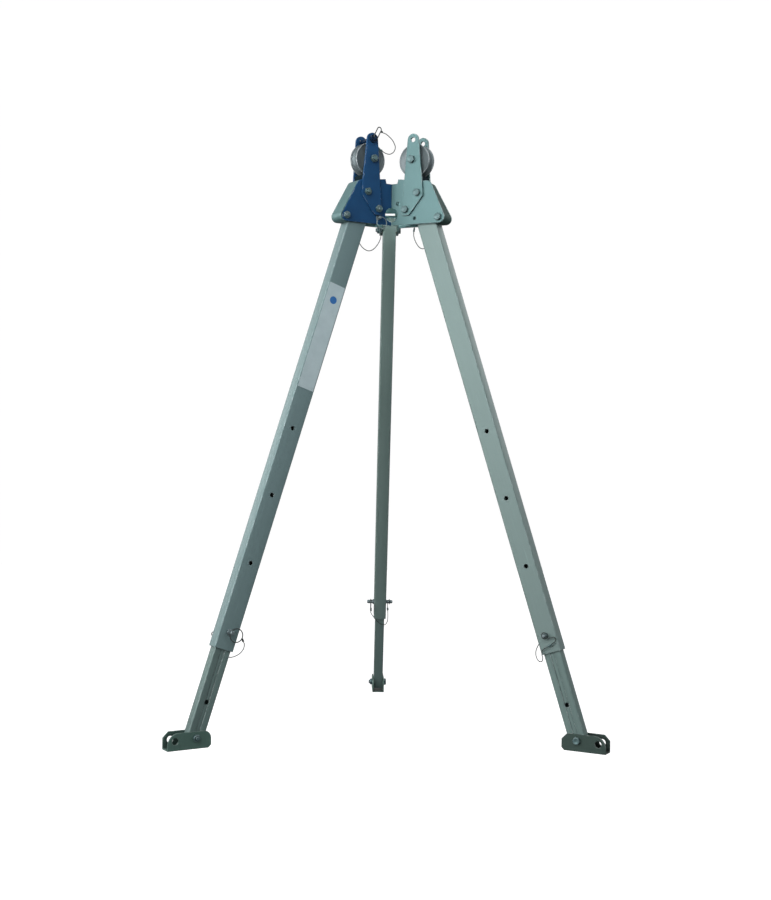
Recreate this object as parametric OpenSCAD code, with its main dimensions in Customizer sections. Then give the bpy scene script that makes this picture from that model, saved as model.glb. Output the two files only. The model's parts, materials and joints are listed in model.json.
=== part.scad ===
// Rescue tripod: three telescoping legs hinged in a plate head that carries two pulleys.
// Millimetres, Z up. The rear leg points along +Y and the two front legs face -Y.

/* [Stance] */
// lean of each leg from upright, in degrees
leg_tilt = 18.5; // [16:0.5:22]
// tripod axis to each leg hinge
hinge_reach = 170; // [168:1:176]
// hinge axis to foot bolt, along the leg
leg_length = 1540; // [1480:10:1640]

/* [Upper legs] */
// outer tube depth, measured toward the tripod axis
outer_depth = 60; // [58:0.5:61]
// outer tube width, sideways
outer_width = 40; // [39:0.5:41]
// outer tube wall
outer_wall = 3; // [2.5:0.25:3]
// corner rounding of the outer tube
outer_round = 4; // [3.5:0.5:6]
// outer tube above the hinge axis
tube_stub = 40; // [34:1:42]
// hinge axis to the outer face of the tube
hinge_offset = 15; // [14:0.5:17]
// leg pin to the open end of the outer tube
pin_to_mouth = 50; // [48:1:60]
// leg pin to the foot bolt
pin_to_foot = 300; // [290:5:320]
// distance between the height holes of the outer tube
outer_pitch = 200; // [150:10:200]
// height holes above the leg pin
spare_holes = 3; // [1:1:4]
// height hole diameter
height_hole = 13; // [12.6:0.1:14]
// length of the plastic guide in the mouth of the outer tube
mouth_guide_length = 40; // [25:1:40]

/* [Lower legs] */
// inner tube depth
inner_depth = 50; // [48:0.5:51]
// inner tube width
inner_width = 30; // [29:0.5:31]
// inner tube wall
inner_wall = 3; // [2.5:0.25:4]
// corner rounding of the inner tube
inner_round = 3; // [2.5:0.5:4]
// inner tube length
inner_length = 1190; // [1150:10:1230]
// distance between the height holes of the inner tube
inner_pitch = 100; // [90:10:100]
// number of steps that the leg draws out
draw_steps = 6; // [3:1:6]
// long groove in the sides of the inner tube: width
groove_width = 12; // [8:0.5:14]
// long groove depth
groove_depth = 1.4; // [0.5:0.1:1.4]
// length of the plastic guide on the top of the inner tube
top_guide_length = 60; // [40:1:70]

/* [Feet] */
// foot bolt above the floor
foot_bolt_height = 30; // [29:0.5:34]
// foot bolt to the heel end of the foot
foot_heel = 45; // [42:1:50]
// foot bolt to the toe end of the foot
foot_toe = 84; // [80:1:95]
// top of the foot above the foot bolt
foot_top = 18; // [16:0.5:22]
// foot plate thickness
foot_plate = 4; // [3:0.25:5]
// toe hole diameter
toe_hole = 19; // [12:0.5:20]
// rounding of the toe
toe_round = 32; // [26:1:34]
// rounding of the heel
heel_round = 22; // [12:1:24]
// slanted corners of the side plates
corner_cut = 16; // [8:1:18]
// bevel under the heel
heel_bevel = 8; // [4:0.5:10]
// foot axle diameter
foot_axle = 12; // [10:0.5:12]

/* [Head] */
// plate thickness of the head
head_plate = 4; // [3:0.25:5]
// inside width of each leg channel
channel_width = 50; // [50:0.25:51]
// top edge of the head above the hinge axis
head_top = 108; // [104:1:112]
// rounding of the head round each hinge bolt
hinge_corner = 17; // [16.5:0.25:19]
// lean of the outer edge of the head, in degrees
edge_lean = 29.5; // [27:0.5:31]
// lean of the outer edge of the left front plate, in degrees
left_edge_lean = 27.5; // [26:0.5:30]
// how far the left front plate stands back behind the other plates
left_edge_in = 4.5; // [0:0.25:5]
// lean of the outer edge of the right front plate, in degrees
right_edge_lean = 24.5; // [24:0.5:28]
// how far the right front plate stands out past the other plates
right_edge_out = 2.5; // [0:0.25:3]
// rounding of the upper outer corner of the head
top_corner = 16; // [10:1:18]
// thickness of the web strip that closes each channel
web_thick = 4; // [3:0.25:4]
// round opening across each front corner of the head: radius
window_radius = 21; // [16:0.5:22]
// height of that opening above the hinge axis
window_height = 14; // [12:0.5:15]
// notch in the top edge: depth
notch_depth = 3; // [2:0.5:8]
// notch in the top edge: reach from the tripod axis
notch_reach = 38; // [36:0.5:44]
// shoulder beside each pulley arm: height over the top edge, next to the arm
shoulder_rise = 7; // [4:0.5:10]
// height of the shoulder's inner end over the top edge
shoulder_end = 10; // [6:0.5:12]
// hinge bolt diameter
hinge_bolt = 12; // [10:0.5:12]
// small tether holes in the right front plate: diameter
tether_hole = 10; // [8:0.5:11]

/* [Pulleys] */
// pulley arm thickness
arm_thick = 6; // [5:0.25:7]
// pulley wheel rim to the middle of the arm's top hole
rim_to_hole = 8; // [7.5:0.5:15]
// radius of the arm's round top
arm_radius = 18; // [16:0.5:19]
// diameter of the arm's top hole
arm_hole = 14; // [13:0.5:16]
// pulley wheel diameter
sheave_diameter = 98; // [90:0.5:100]
// pulley wheel thickness
sheave_thick = 36; // [32:0.5:40]
// pulley rope groove: depth from the rim
groove_reach = 10; // [7:0.5:12]
// pulley axle distance from the tripod axis
axle_reach = 84; // [83:0.5:87]
// pulley axle above the top edge of the head
axle_rise = 64; // [62:0.5:66]
// pulley axle diameter
axle_size = 14; // [12:0.5:14]
// arm bolt diameter
arm_bolt = 12; // [10:0.5:12]

/* [Pins and wires] */
// leg pin diameter
leg_pin = 12; // [11:0.25:12]
// leg pin tip beyond the tube
pin_tip = 22; // [18:1:26]
// diameter of the lanyard wire
wire = 2.5; // [2:0.1:2.8]
// ring of each leg pin: centre line radius
ring_radius = 19; // [18:0.5:21]
// thickness of the pin rings
ring_wire = 3; // [2.5:0.1:3.2]

/* [Label] */
// label plate length
label_length = 320; // [200:5:320]
// label plate width
label_width = 52; // [40:1:52]
// label plate thickness
label_thick = 0.5; // [0.4:0.1:1]

/* [Hidden] */
$fn = 48;

left_side = 210;
right_side = 330;
rear_side = 90;
aluminium = [0.58, 0.64, 0.64];
dark_aluminium = [0.36, 0.43, 0.42];
blue_paint = [0.11, 0.24, 0.44];
bright_steel = [0.75, 0.77, 0.78];
dark_steel = [0.3, 0.32, 0.33];
black_plastic = [0.06, 0.07, 0.07];
label_foil = [0.72, 0.76, 0.77];

// running clearance of a shaft, a side gap between parts that turn and a loose bolt hole
shaft_gap = 0.05;
side_gap = 0.3;
bolt_gap = 0.25;
guide_gap = 0.3;
stop_gap = 0.1;
deep = 1;
beyond = 600;

// leg layout along the tube, measured down from the hinge axis
tube_inset = hinge_offset + outer_depth/2;
pin_down = leg_length - pin_to_foot;
mouth_down = pin_down + pin_to_mouth;
tube_bottom = leg_length + foot_axle/2 + 5;
hinge_z = foot_bolt_height + leg_length*cos(leg_tilt) + tube_inset*sin(leg_tilt);
foot_reach = hinge_reach + leg_length*sin(leg_tilt) - tube_inset*cos(leg_tilt);
foot_half = inner_width/2 + side_gap + foot_plate;
foot_end = foot_reach + foot_toe;
shift_y = -(foot_end - foot_end/2 - foot_half*cos(30))/2;

// head layout, reach from the tripod axis and height over the hinge axis
flank_in = channel_width/2;
flank_out = flank_in + head_plate;
arm_out = flank_out + arm_thick;
cheek_out = flank_in - 0.5;
head_bottom = -hinge_corner;
upper_bolt = [hinge_reach - 67, head_top - 34];
lower_bolt = [hinge_reach - 105, head_top - 81];
axle_height = head_top + axle_rise;
arm_top = axle_height + sheave_diameter/2 + rim_to_hole;
anchor_at = [64, 1];
tether_upper = [37, 46];
tether_lower = [93, 0];
retaining_at = [88, arm_top];
anchor_size = 10;
anchor_ring_radius = 16.5;
anchor_ring_wire = 3;
anchor_eye = flank_out + 10;
retaining_eye = arm_out + 14;
leg_eye = outer_width/2 + 11;
leg_pin_end = leg_eye + 12;
nut_wide = 19;
nut_tall = 8;
axle_head_wide = 20;
axle_head_tall = 9;
spacer_wide = 20;
axle_spacer = 24;

function arc(middle, radius, from, to, steps) =
    [for (i = [0:steps]) let (a = from + (to - from)*i/steps)
        [middle[0] + radius*cos(a), middle[1] + radius*sin(a)]];
function rounded(wide, tall, radius) = concat(
    arc([wide/2 - radius, tall/2 - radius], radius, 0, 90, 3),
    arc([radius - wide/2, tall/2 - radius], radius, 90, 180, 3),
    arc([radius - wide/2, radius - tall/2], radius, 180, 270, 3),
    arc([wide/2 - radius, radius - tall/2], radius, 270, 360, 3));

// places: X points outward, Y sideways along the hinge bolts, Z up
module on_side(side) translate([0, shift_y, 0]) rotate([0, 0, side]) children();
module at_head(side) on_side(side) translate([0, 0, hinge_z]) children();
module along_leg(side) at_head(side) translate([hinge_reach, 0, 0]) rotate([0, -leg_tilt, 0]) children();
module at_pin(side) along_leg(side) translate([-tube_inset, 0, -pin_down]) rotate([-90, 0, 0]) children();
module at_foot(side) on_side(side) translate([foot_reach, 0, foot_bolt_height]) children();
module slab(from, to) translate([0, to, 0]) rotate([90, 0, 0]) linear_extrude(to - from) children();
module cross(spot, size, reach) translate([spot[0], 0, spot[1]]) rotate([90, 0, 0])
    cylinder(d = size, h = 2*reach, center = true);
module rod(spot, size, from, to) translate([spot[0], to, spot[1]]) rotate([90, 0, 0])
    cylinder(d = size, h = to - from);
module hexagon(spot, wide, from, to) translate([spot[0], to, spot[1]]) rotate([90, 0, 0])
    cylinder(d = wide/cos(30), h = to - from, $fn = 6);
module sleeve(spot, outside, inside, from, to) difference() {
    rod(spot, outside, from, to);
    rod(spot, inside, from - deep, to + deep);
}

// outline of the head plates, drawn inset by the given amount
shoulder_reach = 61;
step_wide = 3;
function edge_reach(height, inset, lean, out) =
    hinge_reach + out + (hinge_corner - inset - height*sin(lean))/cos(lean);
function head_outline(inset, lean, out, shoulder) = let (
        middle_z = head_top - top_corner,
        middle = [edge_reach(middle_z, top_corner, lean, out), middle_z])
    concat(
        [[0, head_bottom + inset]],
        arc([hinge_reach + out, 0], hinge_corner - inset, 270, 360 + lean, 8),
        arc(middle, top_corner - inset, lean, 90, 4),
        [[shoulder_reach + step_wide, head_top - inset], [shoulder_reach, head_top - inset + shoulder[0]],
            [notch_reach, head_top - inset + shoulder[1]],
            [notch_reach - step_wide, head_top - inset - notch_depth], [0, head_top - inset - notch_depth]]);

// one flank of a channel, mitred where it meets the flank of the next channel; the rear ones are welded there
bend_weld = 0.1;
module flank(side, turn, lean, out, bend_lap = 0) at_head(side) difference() {
    slab(turn > 0 ? flank_in : -flank_out, turn > 0 ? flank_out : -flank_in)
        polygon(head_outline(0, lean, out, side == rear_side ? [0, 0] : [shoulder_rise, shoulder_end]));
    rotate([0, 0, 60*turn]) translate([-beyond, turn > 0 ? bend_lap : -beyond - bend_lap, -beyond])
        cube([2*beyond, beyond, 2*beyond]);
    cross([flank_out*tan(30), window_height], 2*window_radius, flank_out + deep);
    cross([hinge_reach, 0], hinge_bolt + 2*bolt_gap, flank_out + deep);
    cross(upper_bolt, arm_bolt + 2*bolt_gap, flank_out + deep);
    cross(lower_bolt, arm_bolt + 2*bolt_gap, flank_out + deep);
    if (side == left_side) cross(anchor_at, anchor_size + 2*bolt_gap, flank_out + deep);
    if (side == right_side && turn < 0) {
        cross(tether_upper, tether_hole, flank_out + deep);
        cross(tether_lower, tether_hole, flank_out + deep);
    }
}

module plate_front_left() color(blue_paint) flank(left_side, 1, left_edge_lean, -left_edge_in);
module plate_front_right() color(aluminium) flank(right_side, -1, right_edge_lean, right_edge_out);
module plate_rear_left() color(aluminium) {
    flank(left_side, -1, edge_lean, 0, bend_weld);
    flank(rear_side, 1, edge_lean, 0, bend_weld);
}
module plate_rear_right() color(aluminium) {
    flank(rear_side, -1, edge_lean, 0, bend_weld);
    flank(right_side, 1, edge_lean, 0, bend_weld);
}

// strip along the outer edges of a channel; its lower lip stops the opening leg
web_top_reach = 22;
slot_height = 44;
slot_wide = 36;
slot_tall = 6;
lip_cut = (hinge_offset - stop_gap)/cos(leg_tilt);
module web(side) color(aluminium) at_head(side) difference() {
    slab(-flank_in, flank_in) difference() {
        polygon(head_outline(0, edge_lean, 0, [0, 0]));
        polygon(head_outline(web_thick, edge_lean, 0, [0, 0]));
        translate([-deep, head_bottom - deep])
            square([edge_reach(head_top, 0, edge_lean, 0) - web_top_reach, beyond]);
        translate([hinge_reach - lip_cut, 0]) rotate(-90 + leg_tilt)
            translate([-beyond, -beyond]) square([2*beyond, beyond]);
    }
    if (side == rear_side) translate([0, -slot_wide/2, slot_height]) cube([beyond, slot_wide, slot_tall]);
}
module web_left() web(left_side);
module web_right() web(right_side);
module web_rear() web(rear_side);

// pulley arms, bolted on the outside of a channel; the far one of a pair is narrower
arm_edge_low = lower_bolt + [-12, -13];
function arm_outline(low_corner, high_corner) = concat(
    arc([retaining_at[0], arm_top], arm_radius, 5, 175, 12),
    [arm_edge_low, lower_bolt + [-7, -18], lower_bolt + [12, -18], upper_bolt + low_corner,
        upper_bolt + high_corner]);
near_outline = arm_outline([19, -9], [17, 18]);
far_outline = arm_outline([14, -12], [11, 18]);
module arm(side, turn, outline) at_head(side) difference() {
    slab(turn > 0 ? flank_out : -arm_out, turn > 0 ? arm_out : -flank_out) polygon(outline);
    cross(retaining_at, arm_hole, arm_out + deep);
    cross([axle_reach, axle_height], axle_size + 2*bolt_gap, arm_out + deep);
    cross(upper_bolt, arm_bolt + 2*bolt_gap, arm_out + deep);
    cross(lower_bolt, arm_bolt + 2*bolt_gap, arm_out + deep);
}
module arm_left_near() color(blue_paint) arm(left_side, 1, near_outline);
module arm_left_far() color(blue_paint) arm(left_side, -1, far_outline);
module arm_right_near() color(aluminium) arm(right_side, -1, near_outline);
module arm_right_far() color(aluminium) arm(right_side, 1, far_outline);

module bolt(spot, size, wide, tall, half) {
    rod(spot, size, -half - deep, half + tall + 4);
    hexagon(spot, wide, -half - tall, -half);
}
module nut(spot, size, wide, tall, half) difference() {
    hexagon(spot, wide, half, half + tall);
    rod(spot, size + 2*shaft_gap, half - deep, half + tall + deep);
}
module arm_bolts() color(bright_steel) for (side = [left_side, right_side]) at_head(side) {
    bolt(upper_bolt, arm_bolt, nut_wide, nut_tall, arm_out);
    bolt(lower_bolt, arm_bolt, nut_wide, nut_tall, arm_out);
}
module arm_nuts() color(bright_steel) for (side = [left_side, right_side]) at_head(side) {
    nut(upper_bolt, arm_bolt, nut_wide, nut_tall, arm_out);
    nut(lower_bolt, arm_bolt, nut_wide, nut_tall, arm_out);
}
module arm_spacers() color(bright_steel) for (side = [left_side, right_side]) at_head(side) {
    sleeve(upper_bolt, spacer_wide, arm_bolt + 2*bolt_gap, -flank_in, flank_in);
    sleeve(lower_bolt, spacer_wide, arm_bolt + 2*bolt_gap, -flank_in, flank_in);
}
module axle_bolts() color(bright_steel) for (side = [left_side, right_side]) at_head(side)
    bolt([axle_reach, axle_height], axle_size, axle_head_wide, axle_head_tall, arm_out);
module axle_nuts() color(bright_steel) for (side = [left_side, right_side]) at_head(side)
    nut([axle_reach, axle_height], axle_size, axle_head_wide, axle_head_tall, arm_out);
wheel_side = sheave_thick/2 + side_gap;
module axle_spacers() color(bright_steel) for (side = [left_side, right_side]) at_head(side) {
    sleeve([axle_reach, axle_height], axle_spacer, axle_size + 2*bolt_gap, wheel_side, flank_out);
    sleeve([axle_reach, axle_height], axle_spacer, axle_size + 2*bolt_gap, -flank_out, -wheel_side);
}
module hinge_bolts() color(bright_steel) for (side = [left_side, right_side, rear_side]) at_head(side)
    bolt([hinge_reach, 0], hinge_bolt, nut_wide, nut_tall, flank_out);
module hinge_nuts() color(bright_steel) for (side = [left_side, right_side, rear_side]) at_head(side)
    nut([hinge_reach, 0], hinge_bolt, nut_wide, nut_tall, flank_out);

// black block between the arms of each pulley, sitting on the plate edges and hollowed to follow the wheel
guard_radius = sheave_diameter/2 + 4;
guard_from = -110;
guard_to = -60;
guard_outline = concat(
    arc([axle_reach, axle_height], guard_radius, guard_from, guard_to, 8),
    [[axle_reach + guard_radius*cos(guard_to), head_top],
        [axle_reach + guard_radius*cos(guard_from), head_top]]);
module rope_guards() color(black_plastic) for (side = [left_side, right_side]) at_head(side)
    slab(-flank_out, flank_out) polygon(guard_outline);

// pulley wheel on its axle
module sheave(side) color(aluminium) at_head(side) translate([axle_reach, 0, axle_height])
    rotate([90, 0, 0]) rotate_extrude() polygon([
        [axle_size/2 + shaft_gap, -sheave_thick/2], [20, -sheave_thick/2],
        [22, 3 - sheave_thick/2], [sheave_diameter/2 - 8, 3 - sheave_thick/2],
        [sheave_diameter/2 - 5, -sheave_thick/2], [sheave_diameter/2, -sheave_thick/2],
        [sheave_diameter/2, 4 - sheave_thick/2], [sheave_diameter/2 - groove_reach, -3],
        [sheave_diameter/2 - groove_reach, 3], [sheave_diameter/2, sheave_thick/2 - 4],
        [sheave_diameter/2, sheave_thick/2], [sheave_diameter/2 - 5, sheave_thick/2],
        [sheave_diameter/2 - 8, sheave_thick/2 - 3], [22, sheave_thick/2 - 3],
        [20, sheave_thick/2], [axle_size/2 + shaft_gap, sheave_thick/2]]);
module sheave_left() sheave(left_side);
module sheave_right() sheave(right_side);

// outer tube with its row of height holes
module outer_tube(side) color(aluminium) along_leg(side) difference() {
    translate([-tube_inset, 0, -mouth_down]) linear_extrude(mouth_down + tube_stub) difference() {
        polygon(rounded(outer_depth, outer_width, outer_round));
        polygon(rounded(outer_depth - 2*outer_wall, outer_width - 2*outer_wall, outer_round - outer_wall));
    }
    for (i = [0:spare_holes])
        cross([-tube_inset, i*outer_pitch - pin_down], height_hole, outer_width);
}
module outer_tube_left() outer_tube(left_side);
module outer_tube_right() outer_tube(right_side);
module outer_tube_rear() outer_tube(rear_side);

// hinge barrel and cheeks welded on the top of the outer tube
barrel = hinge_corner - web_thick - 1;
cheek_in = -hinge_offset - outer_depth + 5;
cheek_outline = concat([[cheek_in, tube_stub - 6], [-28, tube_stub - 6]],
    arc([0, 0], barrel - 1, 70, -100, 8), [[cheek_in, 8]]);
module leg_hinge(side) color(dark_aluminium) along_leg(side) difference() {
    union() {
        rod([0, 0], 2*barrel, -cheek_out, cheek_out);
        slab(outer_width/2, cheek_out) polygon(cheek_outline);
        slab(-cheek_out, -outer_width/2) polygon(cheek_outline);
    }
    cross([0, 0], hinge_bolt + 2*shaft_gap, channel_width);
}
module leg_hinge_left() leg_hinge(left_side);
module leg_hinge_right() leg_hinge(right_side);
module leg_hinge_rear() leg_hinge(rear_side);

// plastic guides between the two tubes
module mouth_guide(side) color(black_plastic) along_leg(side)
    translate([-tube_inset, 0, -mouth_down]) linear_extrude(mouth_guide_length) difference() {
        polygon(rounded(outer_depth - 2*outer_wall, outer_width - 2*outer_wall, outer_round - outer_wall));
        polygon(rounded(inner_depth + 2*guide_gap, inner_width + 2*guide_gap, inner_round + guide_gap));
    }
module mouth_guide_left() mouth_guide(left_side);
module mouth_guide_right() mouth_guide(right_side);
module mouth_guide_rear() mouth_guide(rear_side);
module top_guide(side) color(black_plastic) along_leg(side)
    translate([-tube_inset, 0, inner_length - tube_bottom - top_guide_length])
    linear_extrude(top_guide_length) difference() {
        polygon(rounded(outer_depth - 2*outer_wall - 2*guide_gap,
            outer_width - 2*outer_wall - 2*guide_gap, outer_round - outer_wall));
        polygon(rounded(inner_depth, inner_width, inner_round));
    }
module top_guide_left() top_guide(left_side);
module top_guide_right() top_guide(right_side);
module top_guide_rear() top_guide(rear_side);

// inner tube, grooved along both sides, with its height holes
module inner_tube(side) color(dark_aluminium) along_leg(side) difference() {
    translate([-tube_inset, 0, -tube_bottom]) linear_extrude(inner_length) difference() {
        polygon(rounded(inner_depth, inner_width, inner_round));
        polygon(rounded(inner_depth - 2*inner_wall, inner_width - 2*inner_wall, 1));
        for (turn = [0, 180]) rotate(turn) translate([-groove_width/2, inner_width/2 - groove_depth])
            square([groove_width, groove_depth + deep]);
    }
    for (i = [0:draw_steps]) cross([-tube_inset, i*inner_pitch - pin_down], height_hole, inner_width);
    cross([-tube_inset, -2*inner_pitch - pin_down], height_hole, inner_width);
    cross([-tube_inset, -leg_length], foot_axle + 2*shaft_gap, inner_width);
}
module inner_tube_left() inner_tube(left_side);
module inner_tube_right() inner_tube(right_side);
module inner_tube_rear() inner_tube(rear_side);

// foot: a folded shoe with a rounded and a plain side plate, swinging on its bolt
sole_outline = [[-foot_heel, heel_bevel - foot_bolt_height], [heel_bevel - foot_heel, -foot_bolt_height],
    [foot_toe, -foot_bolt_height]];
toe_inset = 22;
toe_spot = [foot_toe - toe_inset, foot_top - toe_inset];
cut_heel = [[corner_cut - foot_heel, foot_top], [-foot_heel, foot_top - corner_cut]];
round_heel = arc([heel_round - foot_heel, foot_top - heel_round], heel_round, 90, 180, 6);
round_toe = arc([foot_toe - toe_round, foot_top - toe_round], toe_round, 0, 90, 6);
cut_toe = [[foot_toe, foot_top - corner_cut], [foot_toe - corner_cut, foot_top]];
plain_outline = concat(sole_outline, cut_toe, cut_heel);
module foot(side, turn) color(dark_aluminium) at_foot(side) difference() {
    union() {
        slab(foot_half - foot_plate, foot_half)
            polygon(turn > 0 ? concat(sole_outline, round_toe, round_heel) : plain_outline);
        slab(-foot_half, foot_plate - foot_half)
            polygon(turn > 0 ? plain_outline : concat(sole_outline, round_toe, cut_heel));
        translate([heel_bevel - foot_heel, -foot_half, -foot_bolt_height])
            cube([foot_toe + foot_heel - heel_bevel, 2*foot_half, foot_plate]);
    }
    cross([0, 0], foot_axle + 2*shaft_gap, foot_half + deep);
    cross(toe_spot, toe_hole, foot_half + deep);
}
module foot_left() foot(left_side, 1);
module foot_right() foot(right_side, -1);
module foot_rear() foot(rear_side, 1);
module foot_bolt(side) color(bright_steel) at_foot(side) {
    bolt([0, 0], foot_axle, nut_wide, nut_tall, foot_half + side_gap);
    nut([0, 0], foot_axle, nut_wide, nut_tall, foot_half + side_gap);
}
module foot_axle_left() foot_bolt(left_side);
module foot_axle_right() foot_bolt(right_side);
module foot_axle_rear() foot_bolt(rear_side);

// pull pins: a stepped shank with an eye for its ring, turned about Z
function pin_profile(size, tip, face, flange, flange_tall, end) = [
    [0, -tip], [size/2 - 2, -tip], [size/2, -tip + 4], [size/2, face], [flange, face],
    [flange, face + flange_tall], [size/2, face + flange_tall], [size/2, end - 1.5],
    [size/2 - 1.5, end], [0, end]];
module eyed_pin(profile, eye, aim, size) difference() {
    rotate_extrude() polygon(profile);
    translate([0, 0, eye]) rotate([0, 0, aim]) rotate([90, 0, 0])
        cylinder(d = size, h = 60, center = true);
}
module ring(eye, aim, radius, thick) rotate([0, 0, aim]) translate([radius, 0, eye])
    rotate_extrude() translate([radius, 0]) circle(d = thick);
ring_aim = 170;
ferrule_aim = 135;
ferrule_length = 10;
ferrule_wide = 6;
module leg_pin_piece(side) color(bright_steel) at_pin(side)
    eyed_pin(pin_profile(leg_pin, outer_width/2 + pin_tip, outer_width/2 + side_gap, 8.5, 4, leg_pin_end),
        leg_eye, ring_aim, 2*ring_wire);
module leg_pin_left() leg_pin_piece(left_side);
module leg_pin_right() leg_pin_piece(right_side);
module leg_pin_rear() leg_pin_piece(rear_side);
module leg_ring(side) color(dark_steel) at_pin(side) {
    ring(leg_eye, ring_aim, ring_radius, ring_wire);
    rotate([0, 0, ring_aim]) translate([2*ring_radius, 0, leg_eye]) rotate([0, 90, ferrule_aim - ring_aim])
        cylinder(d = ferrule_wide, h = ferrule_length);
}
module leg_ring_left() leg_ring(left_side);
module leg_ring_right() leg_ring(right_side);
module leg_ring_rear() leg_ring(rear_side);

module at_spot(side, spot) at_head(side) translate([spot[0], 0, spot[1]]) rotate([-90, 0, 0]) children();

// retaining pin across the left arms: a knob, a flat tab with an eye and a long link
retaining_aim = -117;
knob_radius = 11.5;
knob_tall = 8;
tab_thick = 4;
link_wide = 13;
link_long = 36;
link_grip = 28;
link_ferrule = 6;
neck_tall = 1;
tab_from = arm_out + side_gap + knob_tall + neck_tall;
module retaining_pin() color(blue_paint) at_spot(left_side, retaining_at) difference() {
    eyed_pin(pin_profile(leg_pin, arm_out + 10, arm_out + side_gap, knob_radius, knob_tall,
        retaining_eye + 7), retaining_eye, retaining_aim, 2*ring_wire);
    rotate([0, 0, retaining_aim]) for (turn = [0, 180]) rotate([0, 0, turn])
        translate([-leg_pin, tab_thick/2, tab_from]) cube([2*leg_pin, leg_pin, 2*leg_pin]);
}
module link_end(at, turn) translate([at, 0, 0]) rotate([0, 0, turn]) rotate_extrude(angle = 180)
    translate([link_wide/2, 0]) circle(d = ring_wire);
module retaining_ring() color(dark_steel) at_spot(left_side, retaining_at)
    rotate([0, 0, retaining_aim]) translate([0, 0, retaining_eye]) {
        link_end(link_wide/2, 90);
        link_end(link_long - link_wide/2, -90);
        for (side = [-1, 1]) translate([link_wide/2, side*link_wide/2, 0]) rotate([0, 90, 0])
            cylinder(d = ring_wire, h = link_long - link_wide);
        translate([link_grip, -link_wide/2, 0]) rotate([90, 0, 0])
            cylinder(d = ferrule_wide, h = link_ferrule);
    }
anchor_aim = 120;
module anchor_pin() color(bright_steel) at_spot(left_side, anchor_at)
    eyed_pin(pin_profile(anchor_size, flank_out + 8, flank_out + side_gap, 6.5, 2.5, anchor_eye + 6),
        anchor_eye, anchor_aim, 2*anchor_ring_wire);
module anchor_ring() color(bright_steel) at_spot(left_side, anchor_at)
    ring(anchor_eye, anchor_aim, anchor_ring_radius, anchor_ring_wire);

// plain foil plate on the left leg
label_down = 200;
module leg_label() color(label_foil) along_leg(left_side)
    translate([outer_depth/2 - outer_round - label_width - tube_inset, outer_width/2,
        -label_down - label_length]) cube([label_width, label_thick, label_length]);

// wires: a smooth path through hand-laid points, swept as one eight-sided tube
wire_sides = 8;
function curve(p, i, t) = let (
        n = len(p) - 1,
        a = p[max(i - 1, 0)], b = p[i], c = p[i + 1], d = p[min(i + 2, n)])
    0.5*(2*b + (c - a)*t + (2*a - 5*b + 4*c - d)*t*t + (3*b - a - 3*c + d)*t*t*t);
function path(p, parts) = concat(
    [for (i = [0:len(p) - 2]) for (k = [0:parts - 1]) curve(p, i, k/parts)], [p[len(p) - 1]]);
function unit(v) = v/norm(v);
function headings(q) = [for (i = [0:len(q) - 1])
    unit(i == 0 ? q[1] - q[0] : i == len(q) - 1 ? q[i] - q[i - 1]
        : unit(q[i + 1] - q[i]) + unit(q[i] - q[i - 1]))];
function carried(h, i, side) = i == len(h) ? [] :
    let (s = unit(side - h[i]*(side*h[i]))) concat([s], carried(h, i + 1, s));
module tube(q, size, first_side) {
    h = headings(q);
    s = carried(h, 0, first_side);
    m = wire_sides;
    rings = len(q);
    points = [for (i = [0:rings - 1]) for (k = [0:m - 1])
        q[i] + size/2*(cos(360*k/m)*s[i] + sin(360*k/m)*cross(h[i], s[i]))];
    faces = concat(
        [[for (k = [0:m - 1]) k]],
        [for (i = [0:rings - 2]) for (k = [0:m - 1])
            [i*m + k, (i + 1)*m + k, (i + 1)*m + (k + 1)%m]],
        [for (i = [0:rings - 2]) for (k = [0:m - 1])
            [i*m + k, (i + 1)*m + (k + 1)%m, i*m + (k + 1)%m]],
        [[for (k = [m - 1:-1:0]) (rings - 1)*m + k]]);
    polyhedron(points, faces);
}

// each wire starts and ends with a straight lead, square to the piece it meets
lead = 3;
meet_gap = 0.1;

// lanyard of a leg pin, from the pin's centre: ring end, round the inner side of the leg, hook on the tip
function off_ring(reach) = [2*ring_radius*cos(ring_aim) + reach*cos(ferrule_aim), leg_eye,
    -2*ring_radius*sin(ring_aim) - reach*sin(ferrule_aim)];
hook_radius = leg_pin/2 + 3;
hook_side = -31;
leg_route = concat(
    [off_ring(ferrule_length + lead), off_ring(ferrule_length + 2*lead),
        [-54, 26, -25], [-58, 18, -34], [-58, 8, -46], [-53, -3, -57], [-44, -13, -65], [-33, -21, -66],
        [-26, -26, -58], [-25, -27, -48], [-20, -27, -38], [-9, -27, -33], [6, -27, -29], [20, -27, -25],
        [28, -27, -18], [25, -27, -11], [16, -28, -10]],
    [for (a = [-60:-40:-300]) [hook_radius*cos(a), hook_side, hook_radius*sin(a)]]);
module leg_wire(side) color(dark_steel) along_leg(side) translate([-tube_inset, 0, -pin_down])
    tube(concat([off_ring(ferrule_length + meet_gap)], path(leg_route, 2)), wire, [0, 1, 0]);
module leg_wire_left() leg_wire(left_side);
module leg_wire_right() leg_wire(right_side);
module leg_wire_rear() leg_wire(rear_side);

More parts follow.
